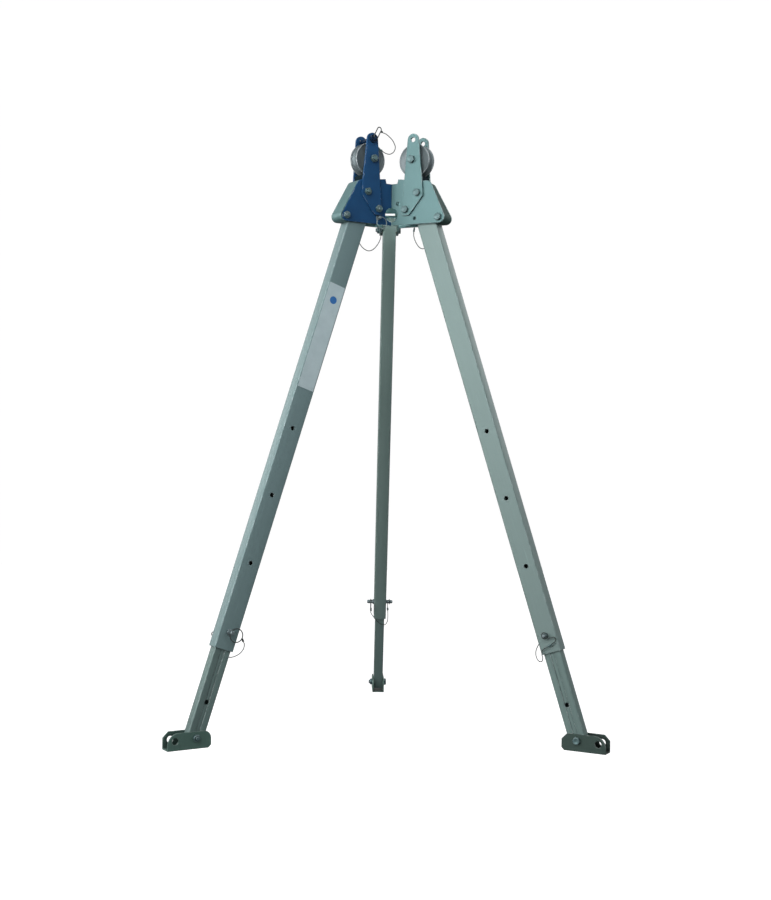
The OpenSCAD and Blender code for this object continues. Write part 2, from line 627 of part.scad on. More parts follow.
// wire loops that hang from the lower edges of the rear plates
loop_w = (flank_in + flank_out)/2;
loop_shape = [[-0.03, 0.2], [-0.02, 0.42], [0.09, 0.67], [0.28, 0.9], [0.5, 1], [0.72, 0.93], [0.9, 0.75],
    [1.02, 0.5], [1.02, 0.25]];
function loop_route(start, w, wide, drop) = concat([[start, w, head_bottom - lead]],
    [for (p = loop_shape) [start + p[0]*wide, w, head_bottom - p[1]*drop]],
    [[start + wide, w, head_bottom - lead]]);
module loop(start, w, wide, drop) tube(concat([[start, w, head_bottom - meet_gap]],
    path(loop_route(start, w, wide, drop), 2), [[start + wide, w, head_bottom - meet_gap]]), wire, [0, 1, 0]);
module head_wire_left() color(dark_steel) at_head(left_side) loop(20, -loop_w, 78, 72);
module head_wire_right() color(dark_steel) at_head(right_side) loop(65, loop_w, 56, 65);

// lanyard of the retaining pin, from its link to the inner edge of the near left arm
arm_edge_high = [retaining_at[0] + arm_radius*cos(175), arm_top + arm_radius*sin(175)];
arm_edge = unit(arm_edge_high - arm_edge_low);
arm_edge_end = arm_edge_low + arm_edge*188;
arm_w = (flank_out + arm_out)/2;
link_side = link_wide/2 + link_ferrule;
function off_link(reach) = [
    retaining_at[0] + link_grip*cos(retaining_aim) + reach*sin(retaining_aim), retaining_eye,
    arm_top - link_grip*sin(retaining_aim) + reach*cos(retaining_aim)];
function off_arm(reach) = [arm_edge_end[0] - reach*arm_edge[1], arm_w, arm_edge_end[1] + reach*arm_edge[0]];
retaining_route = [off_link(link_side + lead), [54, 48, 246], [46, 47, 243], [37, 46, 238], [27, 45, 231],
    [19, 43, 222], [14, 41, 213], [15, 39, 203], [20, 37, 196], [29, 36, 191], [39, 35, 191], [48, 34, 194],
    [56, 33, 199], off_arm(lead)];
module retaining_wire() color(dark_steel) at_head(left_side)
    tube(concat([off_link(link_side + meet_gap)], path(retaining_route, 2), [off_arm(meet_gap)]),
        wire, [0, 1, 0]);

plate_front_left();
plate_front_right();
plate_rear_left();
plate_rear_right();
web_left();
web_right();
web_rear();
arm_left_near();
arm_left_far();
arm_right_near();
arm_right_far();
arm_bolts();
arm_nuts();
arm_spacers();
axle_bolts();
axle_nuts();
axle_spacers();
rope_guards();
hinge_bolts();
hinge_nuts();
head_wire_left();
head_wire_right();
retaining_wire();
retaining_pin();
retaining_ring();
anchor_pin();
anchor_ring();
sheave_left();
sheave_right();
outer_tube_left();
outer_tube_right();
outer_tube_rear();
leg_hinge_left();
leg_hinge_right();
leg_hinge_rear();
mouth_guide_left();
mouth_guide_right();
mouth_guide_rear();
leg_wire_left();
leg_wire_right();
leg_wire_rear();
leg_label();
leg_pin_left();
leg_pin_right();
leg_pin_rear();
leg_ring_left();
leg_ring_right();
leg_ring_rear();
inner_tube_left();
inner_tube_right();
inner_tube_rear();
top_guide_left();
top_guide_right();
top_guide_rear();
foot_axle_left();
foot_axle_right();
foot_axle_rear();
foot_left();
foot_right();
foot_rear();
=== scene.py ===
import json
import math
import bmesh
import bpy
from mathutils import Matrix, Vector
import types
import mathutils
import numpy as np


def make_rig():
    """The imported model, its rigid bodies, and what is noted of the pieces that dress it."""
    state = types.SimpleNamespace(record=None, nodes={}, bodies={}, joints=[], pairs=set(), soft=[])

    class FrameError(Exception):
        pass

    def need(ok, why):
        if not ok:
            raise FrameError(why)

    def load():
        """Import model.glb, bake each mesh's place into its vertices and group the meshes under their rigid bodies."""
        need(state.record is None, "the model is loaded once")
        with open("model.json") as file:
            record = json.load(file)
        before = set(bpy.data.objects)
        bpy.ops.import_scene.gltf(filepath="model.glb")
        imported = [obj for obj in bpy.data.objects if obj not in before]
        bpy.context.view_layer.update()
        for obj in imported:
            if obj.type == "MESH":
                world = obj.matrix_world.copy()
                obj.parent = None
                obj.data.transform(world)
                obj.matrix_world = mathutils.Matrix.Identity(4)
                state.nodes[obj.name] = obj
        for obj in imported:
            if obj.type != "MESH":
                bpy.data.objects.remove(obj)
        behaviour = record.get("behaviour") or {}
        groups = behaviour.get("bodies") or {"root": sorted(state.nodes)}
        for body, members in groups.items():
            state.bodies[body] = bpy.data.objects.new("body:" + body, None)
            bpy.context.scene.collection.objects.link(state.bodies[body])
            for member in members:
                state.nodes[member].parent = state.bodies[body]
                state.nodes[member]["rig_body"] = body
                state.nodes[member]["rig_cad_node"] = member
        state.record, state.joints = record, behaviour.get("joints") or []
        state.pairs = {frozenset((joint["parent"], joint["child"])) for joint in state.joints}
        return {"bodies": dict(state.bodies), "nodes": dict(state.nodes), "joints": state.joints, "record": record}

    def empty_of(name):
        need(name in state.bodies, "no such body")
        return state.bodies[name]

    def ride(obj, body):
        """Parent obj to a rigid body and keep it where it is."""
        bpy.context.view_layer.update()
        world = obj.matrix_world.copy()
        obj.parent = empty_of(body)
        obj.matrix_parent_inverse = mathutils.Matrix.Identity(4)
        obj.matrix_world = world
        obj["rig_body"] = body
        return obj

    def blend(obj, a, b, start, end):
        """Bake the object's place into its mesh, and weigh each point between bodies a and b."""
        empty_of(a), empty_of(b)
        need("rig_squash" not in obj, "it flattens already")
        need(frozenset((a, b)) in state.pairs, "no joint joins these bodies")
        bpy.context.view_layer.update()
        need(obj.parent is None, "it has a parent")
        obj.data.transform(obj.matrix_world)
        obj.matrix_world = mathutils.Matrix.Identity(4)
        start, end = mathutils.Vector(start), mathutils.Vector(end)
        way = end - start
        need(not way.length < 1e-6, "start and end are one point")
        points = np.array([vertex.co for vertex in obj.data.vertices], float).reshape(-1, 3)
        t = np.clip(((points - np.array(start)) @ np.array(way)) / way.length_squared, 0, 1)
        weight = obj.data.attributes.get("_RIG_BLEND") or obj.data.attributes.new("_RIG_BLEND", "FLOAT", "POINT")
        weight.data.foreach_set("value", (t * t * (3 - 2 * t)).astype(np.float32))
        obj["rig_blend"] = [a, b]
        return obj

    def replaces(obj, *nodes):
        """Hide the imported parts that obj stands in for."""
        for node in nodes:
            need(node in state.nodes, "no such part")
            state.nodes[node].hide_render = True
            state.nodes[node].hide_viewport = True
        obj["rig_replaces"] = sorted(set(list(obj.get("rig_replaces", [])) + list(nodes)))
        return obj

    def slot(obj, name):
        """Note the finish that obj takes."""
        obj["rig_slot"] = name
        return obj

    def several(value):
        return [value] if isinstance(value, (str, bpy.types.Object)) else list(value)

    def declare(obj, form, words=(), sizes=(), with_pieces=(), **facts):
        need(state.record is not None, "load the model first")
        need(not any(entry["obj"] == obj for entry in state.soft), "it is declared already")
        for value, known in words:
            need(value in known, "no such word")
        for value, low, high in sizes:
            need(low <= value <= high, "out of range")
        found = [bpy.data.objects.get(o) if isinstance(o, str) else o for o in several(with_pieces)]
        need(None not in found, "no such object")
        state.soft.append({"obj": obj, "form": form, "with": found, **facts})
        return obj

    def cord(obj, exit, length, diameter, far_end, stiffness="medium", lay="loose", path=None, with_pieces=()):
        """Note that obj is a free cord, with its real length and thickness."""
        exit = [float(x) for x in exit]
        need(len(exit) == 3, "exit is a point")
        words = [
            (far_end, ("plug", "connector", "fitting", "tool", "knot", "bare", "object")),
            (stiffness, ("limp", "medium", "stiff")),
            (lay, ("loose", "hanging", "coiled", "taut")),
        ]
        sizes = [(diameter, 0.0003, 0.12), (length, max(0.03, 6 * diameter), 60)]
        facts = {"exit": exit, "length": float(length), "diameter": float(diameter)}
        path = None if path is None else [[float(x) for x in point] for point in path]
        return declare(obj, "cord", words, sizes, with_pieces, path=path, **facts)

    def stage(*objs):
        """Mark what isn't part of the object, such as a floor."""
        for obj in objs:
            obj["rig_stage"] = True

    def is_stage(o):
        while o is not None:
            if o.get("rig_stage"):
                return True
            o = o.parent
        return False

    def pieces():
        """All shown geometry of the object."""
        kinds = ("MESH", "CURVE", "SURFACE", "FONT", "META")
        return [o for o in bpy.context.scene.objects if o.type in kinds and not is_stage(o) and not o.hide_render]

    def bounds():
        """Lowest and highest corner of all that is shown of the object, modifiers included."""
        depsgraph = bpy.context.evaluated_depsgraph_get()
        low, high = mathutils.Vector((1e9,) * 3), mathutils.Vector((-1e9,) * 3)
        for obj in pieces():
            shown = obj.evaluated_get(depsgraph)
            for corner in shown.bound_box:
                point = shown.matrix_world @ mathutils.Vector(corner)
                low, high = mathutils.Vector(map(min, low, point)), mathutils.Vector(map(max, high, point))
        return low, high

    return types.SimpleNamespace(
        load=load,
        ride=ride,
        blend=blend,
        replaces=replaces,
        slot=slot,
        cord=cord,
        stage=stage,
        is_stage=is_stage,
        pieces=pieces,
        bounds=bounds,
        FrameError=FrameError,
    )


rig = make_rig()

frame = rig.load()
cadBox = [list(corner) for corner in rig.bounds()]
record = frame["record"]
nodes = frame["nodes"]
bodyOf = {node: body for body, members in record["behaviour"]["bodies"].items() for node in members}
slotOf = {part["node"]: part["material_slot"] for part in record["subparts"]}
scene = bpy.context.scene
print("frame loaded,", len(nodes), "nodes")

# where things are, in metres: the same sizes as the part
layout = {
    "tilt": 18.5, "hingeReach": 0.170, "legLength": 1.540, "tubeInset": 0.045, "footBolt": 0.030,
    "footToe": 0.084, "footHalf": 0.0193, "pinToFoot": 0.300, "headBottom": -0.017,
}
tilt = math.radians(layout["tilt"])
hingeZ = layout["footBolt"] + layout["legLength"] * math.cos(tilt) + layout["tubeInset"] * math.sin(tilt)
footReach = layout["hingeReach"] + layout["legLength"] * math.sin(tilt) - layout["tubeInset"] * math.cos(tilt)
footEnd = footReach + layout["footToe"]
shiftY = -(footEnd / 2 - layout["footHalf"] * math.cos(math.radians(30))) / 2
pinDown = layout["legLength"] - layout["pinToFoot"]
sideTurn = {"left": 210, "right": 330, "rear": 90}


def headMatrix(side):  # X outward, Y along the hinge bolt, Z up from the hinge height
    return Matrix.Translation((0, shiftY, hingeZ)) @ Matrix.Rotation(math.radians(sideTurn[side]), 4, "Z")


def legMatrix(side):  # Z up along the leg, from the hinge axis
    outward = Matrix.Translation((layout["hingeReach"], 0, 0))
    return headMatrix(side) @ outward @ Matrix.Rotation(-tilt, 4, "Y")


def pinMatrix(side):  # the same, from the middle of the leg pin
    return legMatrix(side) @ Matrix.Translation((-layout["tubeInset"], 0, -pinDown))


def footMatrix(side):
    turn = Matrix.Rotation(math.radians(sideTurn[side]), 4, "Z")
    return Matrix.Translation((0, shiftY, layout["footBolt"])) @ turn @ Matrix.Translation((footReach, 0, 0))


def alongY(spot, y=0.0):  # a place whose Z runs along the bolts, +Y way
    return Matrix.Translation((spot[0], y, spot[1])) @ Matrix.Rotation(-math.pi / 2, 4, "X")


# camera, fitted to the photograph
cameraSet = {"lens": 56.15, "sensor": 36, "farthest": 50, "place": (-0.1448, -4.3465, 0.8418),
             "turn": -1.984, "pitch": -0.362, "roll": 0.836, "shift": (-0.0022, 0.0036)}
cameraData = bpy.data.cameras.new("photoCamera")
cameraData.lens = cameraSet["lens"]
cameraData.sensor_width = cameraSet["sensor"]
cameraData.shift_x, cameraData.shift_y = cameraSet["shift"]
cameraData.clip_end = cameraSet["farthest"]
photoCamera = bpy.data.objects.new("photoCamera", cameraData)
scene.collection.objects.link(photoCamera)
photoCamera.matrix_world = (Matrix.Translation(cameraSet["place"])
                            @ Matrix.Rotation(math.radians(cameraSet["turn"]), 4, "Z")
                            @ Matrix.Rotation(math.radians(90 + cameraSet["pitch"]), 4, "X")
                            @ Matrix.Rotation(math.radians(cameraSet["roll"]), 4, "Z"))
scene.camera = photoCamera
print("camera set")


# mesh building: each shape adds to a list of points and faces
hexSet = {"cornerCut": 0.0016, "flatCut": 0.0005, "topEdge": 0.47, "dishEdge": 0.40, "dishFloor": 0.36}


def circle(radius, height, turns):
    return [(radius * math.cos(2 * math.pi * k / turns), radius * math.sin(2 * math.pi * k / turns), height)
            for k in range(turns)]


def hexRing(wide, height, turnedDown):  # six corners and six middles of flats, with the corners turned down
    points = []
    for k in range(12):
        corner = k % 2 == 0
        r = wide / 2 / (math.cos(math.pi / 6) if corner else 1)
        drop = (hexSet["cornerCut"] if corner else hexSet["flatCut"]) if turnedDown else 0
        points.append((r * math.cos(math.pi * k / 6), r * math.sin(math.pi * k / 6), height - drop))
    return points


def rowFaces(rows, sides):  # quads between rings of points that follow each other
    return [[row * sides + k, row * sides + (k + 1) % sides, (row + 1) * sides + (k + 1) % sides,
             (row + 1) * sides + k] for row in range(rows) for k in range(sides)]


def headings(path):  # the way a path runs at each of its points
    last = len(path) - 1
    return [(path[min(i + 1, last)] - path[max(i - 1, 0)]).normalized() for i in range(last + 1)]


def carriedFrames(heads):  # two directions square to a path, turned as little as can be from point to point
    side, frames = heads[0].orthogonal().normalized(), []
    for h in heads:
        side = (side - h * side.dot(h)).normalized()
        frames.append((side, h.cross(side)))
    return frames


class Shape:
    def __init__(self):
        self.points, self.faces = [], []

    def add(self, place, points, faces):
        first = len(self.points)
        self.points += [place @ Vector(p) for p in points]
        self.faces += [[first + i for i in f] for f in faces]

    def lathe(self, place, profile, turns=32):  # profile: radius and height; ends on the axis are closed
        points, faces, rows = [], [], []
        for radius, height in profile:
            if radius < 1e-6:
                rows.append([len(points)])
                points.append((0, 0, height))
            else:
                rows.append(list(range(len(points), len(points) + turns)))
                points += circle(radius, height, turns)
        for low, high in zip(rows, rows[1:]):
            for k in range(turns):
                n = (k + 1) % turns
                quad = [low[k % len(low)], low[n % len(low)], high[n % len(high)], high[k % len(high)]]
                quad = [v for i, v in enumerate(quad) if v not in quad[:i]]
                if len(quad) > 2:
                    faces.append(quad)
        self.add(place, points, faces)

    def ringLathe(self, place, profile, turns=32):  # a closed profile that stays off the axis
        self.lathe(place, profile + [profile[0]], turns)

    def hexHead(self, place, wide, tall, dish):  # the head of a bolt, with a shallow dish in its top
        points = hexRing(wide, 0, False) + hexRing(wide, tall, True)
        for share, drop in ((hexSet["topEdge"], 0), (hexSet["dishEdge"], 0), (hexSet["dishFloor"], dish)):
            points += circle(wide * share, tall - drop, 12)
        top, bottom = list(range(48, 60)), list(range(11, -1, -1))
        self.add(place, points, rowFaces(4, 12) + [top, bottom])

    def tube(self, path, radius, sides):  # round bar along points
        count, heads = len(path), headings(path)
        points = []
        for p, (side, up) in zip(path, carriedFrames(heads)):
            points += [p + radius * (x * side + y * up) for x, y, z in circle(1, 0, sides)]
        ends = [list(range(sides - 1, -1, -1)), [(count - 1) * sides + k for k in range(sides)]]
        self.add(Matrix.Identity(4), points, rowFaces(count - 1, sides) + ends)

    def piece(self, name, body, slot, finish, sharp=35):
        mesh = bpy.data.meshes.new(name)
        mesh.from_pydata([tuple(p) for p in self.points], [], self.faces)
        mesh.update()
        return settle(bpy.data.objects.new(name, mesh), body, slot, finish, sharp)


def settle(obj, body, slot, finish, sharp):  # shading, finish, body and slot of a new piece
    scene.collection.objects.link(obj)
    mesh = obj.data
    mesh.polygons.foreach_set("use_smooth", [True] * len(mesh.polygons))
    mesh.set_sharp_from_angle(angle=math.radians(sharp))
    mesh.materials.clear()
    mesh.materials.append(finish)
    if body is not None:
        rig.ride(obj, body)
    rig.slot(obj, slot)
    return obj


def smoothPath(points, parts):  # an even curve through every point
    points = [Vector(p) for p in points]
    last = len(points) - 1
    out = []
    for i in range(last):
        a, b, c, d = points[max(i - 1, 0)], points[i], points[i + 1], points[min(i + 2, last)]
        for k in range(parts):
            t = k / parts
            out.append(0.5 * (2 * b + (c - a) * t + (2 * a - 5 * b + 4 * c - d) * t * t
                              + (3 * b - a - 3 * c + d) * t * t * t))
    return out + [points[last]]


def evenPath(points, step):  # the same line at equal steps
    out, carry = [points[0]], 0.0
    for a, b in zip(points, points[1:]):
        span = (b - a).length
        at = step - carry
        while at < span:
            out.append(a.lerp(b, at / span))
            at += step
        carry = span - (at - step)
    if (out[-1] - points[-1]).length > step * 0.3:
        out.append(points[-1])
    else:
        out[-1] = points[-1]
    return out


def pathLength(points):  # from end to end
    return sum((b - a).length for a, b in zip(points, points[1:]))


# finishes: node helpers first, then bare metal, paint and plastic
def startFinish(name):
    finish = bpy.data.materials.new(name)
    finish.use_nodes = True
    tree = finish.node_tree
    shader = tree.nodes["Principled BSDF"]
    return finish, tree, shader


def addNode(tree, kind, inputs=None, **settings):
    made = tree.nodes.new(kind)
    for key, value in settings.items():
        setattr(made, key, value)
    for key, value in (inputs or {}).items():
        if isinstance(value, bpy.types.NodeSocket):
            tree.links.new(value, made.inputs[key])
        else:
            made.inputs[key].default_value = value
    return made


def spread(tree, source, low, high, toLow, toHigh):
    return addNode(tree, "ShaderNodeMapRange", {"Value": source, "From Min": low, "From Max": high,
                                                "To Min": toLow, "To Max": toHigh}).outputs["Result"]


def mixColour(tree, share, a, b):
    return addNode(tree, "ShaderNodeMix", {0: share, 6: a, 7: b}, data_type="RGBA").outputs[2]


def noise(tree, spot, scale, detail=2.0, roughness=0.5):  # soft noise from 0 to 1
    return addNode(tree, "ShaderNodeTexNoise", {"Vector": spot, "Scale": scale, "Detail": detail,
                                                "Roughness": roughness}).outputs["Fac"]


def stretched(tree, spot, scale, turn=(0, 0, 0)):  # a pattern's place, turned and stretched
    made = addNode(tree, "ShaderNodeMapping", {"Vector": spot, "Rotation": turn, "Scale": scale})
    return made.outputs["Vector"]


def maths(tree, kind, a, b):
    return addNode(tree, "ShaderNodeMath", {0: a, 1: b}, operation=kind).outputs["Value"]


def vectorMaths(tree, kind, a, b):
    return addNode(tree, "ShaderNodeVectorMath", {0: a, 1: b}, operation=kind).outputs["Value"]


def roundedNormal(tree, radius):  # shades an edge as if it were rounded
    return addNode(tree, "ShaderNodeBevel", {"Radius": radius}, samples=4).outputs["Normal"]


def edgeFacing(tree, soft):  # 1 on a flat face, less along an edge
    hard = addNode(tree, "ShaderNodeNewGeometry").outputs["Normal"]
    return vectorMaths(tree, "DOT_PRODUCT", soft, hard)


def dented(tree, shader, height, strength, deep=0.0002, normal=None):  # fine relief
    inputs = {"Height": height, "Strength": strength, "Distance": deep}
    if normal is not None:
        inputs["Normal"] = normal
    tree.links.new(addNode(tree, "ShaderNodeBump", inputs).outputs["Normal"], shader.inputs["Normal"])


def cloudy(tree, cloud, low, high):  # spread of a soft noise over its usual range
    return spread(tree, cloud, 0.3, 0.7, low, high)


def tone(colour, gain=1.0):
    return (min(colour[0] * gain, 1), min(colour[1] * gain, 1), min(colour[2] * gain, 1), 1)


def tint(colour, gains):
    return tuple(c * g for c, g in zip(colour, gains))


# noise scales per metre, and the ranges of noise or edge in which lines, scratches, wear and painted shade set in
metalGrain = {"drawn": (420, 420, 3), "scratch": (260, 260, 9), "slant": (0.5, 0.9, 0.3), "cloud": 7.0,
              "fine": 900.0, "patch": 60.0, "linesAt": (0.35, 0.65), "scratchAt": (0.70, 0.76),
              "edgeRound": 0.0022, "edgeAt": (0.995, 0.90), "patchAt": (0.42, 0.62), "paintedShadeAt": (0.55, 0.95)}


def metalFinish(name, colour, rough=0.4, metal=0.6, grain=None, streak=0.10, blotch=0.12, bump=0.15, wear=0.5,
                scratch=0.3, edge=(0.75, 0.78, 0.79), uneven=0.08, paintedShade=0.0, paintedShadeReach=0.006, shine=0.5):
    # grain: a matrix whose Z is the direction that the metal was drawn or brushed
    finish, tree, shader = startFinish(name)
    spot = addNode(tree, "ShaderNodeTexCoord").outputs["Object"]
    turned = spot
    if grain is not None:
        turned = stretched(tree, spot, (1, 1, 1), grain.to_3x3().inverted().to_euler())
    drawn = noise(tree, stretched(tree, turned, metalGrain["drawn"]), 1.0, 3.0)
    cloud = noise(tree, spot, metalGrain["cloud"], 6.0, 0.62)
    fine = noise(tree, spot, metalGrain["fine"])
    base = mixColour(tree, cloudy(tree, cloud, 0, 1), tone(colour, 1 - blotch), tone(colour, 1 + blotch))
    lined = mixColour(tree, spread(tree, drawn, *metalGrain["linesAt"], 0, 1), tone(colour, 1 - streak),
                      tone(colour, 1 + streak))
    base = mixColour(tree, 0.5, base, lined)
    # light scratches that cross the grain
    slant = stretched(tree, turned, metalGrain["scratch"], metalGrain["slant"])
    marks = spread(tree, noise(tree, slant, 1.0, 1.0), *metalGrain["scratchAt"], 0, scratch)
    base = mixColour(tree, marks, base, tone(colour, 1.5))
    # bare metal along the edges
    soft = roundedNormal(tree, metalGrain["edgeRound"])
    rubbed = spread(tree, edgeFacing(tree, soft), *metalGrain["edgeAt"], 0, 1)
    patchy = spread(tree, noise(tree, spot, metalGrain["patch"], 4.0), *metalGrain["patchAt"], 0, 1)
    rubbed = maths(tree, "MULTIPLY", maths(tree, "MULTIPLY", rubbed, patchy), wear)
    base = mixColour(tree, rubbed, base, tone(edge))
    if paintedShade:  # painted shade: corners, grooves and recesses are darkened where little light reaches
        openness = addNode(tree, "ShaderNodeAmbientOcclusion", {"Distance": paintedShadeReach}, samples=6,
                           only_local=True).outputs["AO"]
        shadeShare = spread(tree, openness, *metalGrain["paintedShadeAt"], paintedShade, 0)
        base = mixColour(tree, shadeShare, base, tone(colour, 0.2))
    tree.links.new(base, shader.inputs["Base Color"])
    roughness = maths(tree, "ADD", cloudy(tree, cloud, rough - uneven, rough + uneven),
                      cloudy(tree, drawn, -uneven / 2, uneven / 2))
    tree.links.new(roughness, shader.inputs["Roughness"])
    shader.inputs["Metallic"].default_value = metal
    shader.inputs["Specular IOR Level"].default_value = shine
    dented(tree, shader, maths(tree, "ADD", drawn, fine), bump, normal=soft)
    return finish


paintGrain = {"cloud": 14.0, "peel": 520.0, "scratch": (240, 240, 12), "slant": (0.3, 0.7, 0.9),
              "patch": 85.0, "shine": 0.08, "bare": (0.52, 0.55, 0.56), "bump": 0.18,
              "scratchAt": (0.69, 0.76), "scratchShare": 0.35, "edgeRound": 0.002,
              "edgeAt": (0.985, 0.86), "patchAt": (0.50, 0.58)}


def paintFinish(name, colour, rough=0.5, chip=0.6):
    finish, tree, shader = startFinish(name)
    shader.inputs["Specular IOR Level"].default_value = paintGrain["shine"]
    spot = addNode(tree, "ShaderNodeTexCoord").outputs["Object"]
    cloud = noise(tree, spot, paintGrain["cloud"], 5.0)
    base = mixColour(tree, cloudy(tree, cloud, 0, 1), tone(colour, 0.86), tone(colour, 1.14))
    slant = stretched(tree, spot, paintGrain["scratch"], paintGrain["slant"])
    marks = spread(tree, noise(tree, slant, 1.0), *paintGrain["scratchAt"], 0, paintGrain["scratchShare"])
    base = mixColour(tree, marks, base, tone(colour, 2.0))
    # chips along the edges, down to the metal
    soft = roundedNormal(tree, paintGrain["edgeRound"])
    patchy = spread(tree, noise(tree, spot, paintGrain["patch"], 5.0), *paintGrain["patchAt"], 0, chip)
    bare = maths(tree, "MULTIPLY", spread(tree, edgeFacing(tree, soft), *paintGrain["edgeAt"], 0, 1), patchy)
    base = mixColour(tree, bare, base, tone(paintGrain["bare"]))
    tree.links.new(base, shader.inputs["Base Color"])
    tree.links.new(cloudy(tree, cloud, rough - 0.06, rough + 0.08), shader.inputs["Roughness"])
    tree.links.new(bare, shader.inputs["Metallic"])
    dented(tree, shader, noise(tree, spot, paintGrain["peel"], 1.0), paintGrain["bump"], normal=soft)
    return finish


plasticGrain = {"cloud": 30.0, "spark": 1400.0, "shine": 0.04, "edgeRound": 0.0012, "bump": 0.25}


def plasticFinish(name, colour, rough=0.7):
    finish, tree, shader = startFinish(name)
    shader.inputs["Specular IOR Level"].default_value = plasticGrain["shine"]
    spot = addNode(tree, "ShaderNodeTexCoord").outputs["Object"]
    cloud = noise(tree, spot, plasticGrain["cloud"], 5.0)
    base = mixColour(tree, cloudy(tree, cloud, 0, 1), tone(colour, 0.75), tone(colour, 1.5))
    tree.links.new(base, shader.inputs["Base Color"])
    tree.links.new(cloudy(tree, cloud, rough - 0.1, rough + 0.15), shader.inputs["Roughness"])
    soft = roundedNormal(tree, plasticGrain["edgeRound"])
    dented(tree, shader, noise(tree, spot, plasticGrain["spark"]), plasticGrain["bump"], normal=soft)
    return finish


# colours, and painted light and shade: the three legs, inner tubes and feet are lighter, darker or bluer copies of one
# finish
colours = {"leg": (0.128, 0.182, 0.175), "inner": (0.105, 0.158, 0.150), "foot": (0.050, 0.096, 0.081),
           "plate": (0.071, 0.149, 0.152), "web": (0.022, 0.055, 0.048), "hinge": (0.07, 0.11, 0.10),
           "blue": (0.011, 0.052, 0.130), "navy": (0.004, 0.014, 0.035), "zinc": (0.15, 0.19, 0.20),
           "bolt": (0.070, 0.122, 0.126), "wire": (0.05, 0.06, 0.058), "sheave": (0.12, 0.15, 0.16),
           "black": (0.002, 0.009, 0.013), "foil": (0.33, 0.40, 0.41), "dot": (0.010, 0.095, 0.28)}
legLightTint = {"left": (0.96, 1.02, 1.08), "right": (0.98, 0.98, 0.98), "rear": (0.96, 0.98, 0.95)}
innerLightGain = {"left": 1.0, "right": 1.05, "rear": 1.0}
footLightGain = {"left": 1.25, "right": 0.48, "rear": 1.25}
legLook = {"rough": 0.52, "metal": 0.40, "streak": 0.04, "blotch": 0.03, "bump": 0.05, "uneven": 0.02}
# the inner tubes and feet get painted shade in their grooves and in the feet's channels
innerLook = {"rough": 0.48, "metal": 0.45, "streak": 0.12, "blotch": 0.06, "wear": 0.4, "scratch": 0.4,
             "paintedShade": 0.8}
footLook = {"rough": 0.5, "metal": 0.35, "blotch": 0.2, "wear": 0.6, "scratch": 0.4, "paintedShade": 0.8,
            "paintedShadeReach": 0.04, "edge": (0.40, 0.44, 0.43)}
legFinish, innerFinish, footFinish = {}, {}, {}
# each side's leg, inner tube and foot finish is a lit or shaded copy of the same aluminium
for side in sideTurn:
    litLegColour = tint(colours["leg"], legLightTint[side])
    litInnerColour = tone(colours["inner"], innerLightGain[side])
    litFootColour = tone(colours["foot"], footLightGain[side])
    legFinish[side] = metalFinish("legAluminium_" + side, litLegColour, grain=legMatrix(side), **legLook)
    innerFinish[side] = metalFinish("innerAluminium_" + side, litInnerColour, grain=legMatrix(side), **innerLook)
    footFinish[side] = metalFinish("footAluminium_" + side, litFootColour, **footLook)
plateFinish = metalFinish("plateAluminium", colours["plate"], 0.50, 0.35, streak=0.03, blotch=0.05,
                          uneven=0.04)
# the right web gets a darker copy of the plate's aluminium: painted shade on the face that turns away from the light
shadedWebFinish = metalFinish("webAluminiumShaded", colours["web"], 0.65, 0.0, streak=0.03, blotch=0.05, wear=0.4,
                        shine=0.1)
hingeFinish = metalFinish("hingeAluminium", colours["hinge"], 0.55, 0.4, bump=0.4)
bluePaint = paintFinish("bluePaint", colours["blue"])
navyPaint = paintFinish("navyPaint", colours["navy"], 0.32, 0.4)
zincFinish = metalFinish("zincSteel", colours["zinc"], 0.40, 0.70, wear=0.3, scratch=0.5)
# the bolts get painted shade round their heads and in their threads
boltFinish = metalFinish("boltSteel", colours["bolt"], 0.40, 0.50, wear=0.3, scratch=0.5, paintedShade=0.6)
wireFinish = metalFinish("wireSteel", colours["wire"], 0.45, 0.60, wear=0.0, bump=0.1)
sheaveFinish = metalFinish("turnedAluminium", colours["sheave"], 0.48, 0.30, headMatrix("left"))
blackPlastic = plasticFinish("blackPlastic", colours["black"])
finishOf = {"blue_paint": bluePaint, "grey_plate": plateFinish, "zinc_steel": zincFinish,
            "black_plastic": blackPlastic, "wire_steel": wireFinish, "sheave_metal": sheaveFinish,
            "leg_hinge": hingeFinish}
print("finishes made")

# steel wire lanyards: six strands laid round a core, on the part's own routes
wireSet = {"thick": 0.0025, "strands": 6, "layLength": 0.016, "step": 0.0011, "core": 1.2, "sides": 6}


def mm(points):  # routes are given in mm
    return [Vector(p) / 1000 for p in points]


def layWire(name, node, route, place, span=None):
    # span: the body at the far end and the two points between which the wire gives way to it
    line = evenPath([place @ p for p in route], wireSet["step"])
    shape = Shape()
    strand = wireSet["thick"] / 6  # radius of a strand, with three strands across the wire
    frames = carriedFrames(headings(line))
    for s in range(wireSet["strands"]):
        path = []
        for i, (p, (a, b)) in enumerate(zip(line, frames)):
            turn = 2 * math.pi * (i * wireSet["step"] / wireSet["layLength"] + s / wireSet["strands"])
            path.append(p + 2 * strand * (math.cos(turn) * a + math.sin(turn) * b))
        shape.tube(path, strand, wireSet["sides"])
    shape.tube(line, strand * wireSet["core"], wireSet["sides"])
    wire = shape.piece(name, bodyOf[node] if span is None else None, slotOf[node], wireFinish, 60)
    if span is not None:
        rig.blend(wire, bodyOf[node], span[0], place @ Vector(span[1]), place @ Vector(span[2]))
    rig.replaces(wire, node)
    return wire, line


# pressed ferrules: a waist in the middle, and where each sits along its wire
crimpSet = {"long": 0.011, "radius": 0.0028, "bore": 0.0013, "dent": 0.0005, "waist": (0.0004, 0.0012),
            "chamfer": 0.0008, "leg": 0.62, "loop": (0.05, 0.95), "retaining": 0.95}


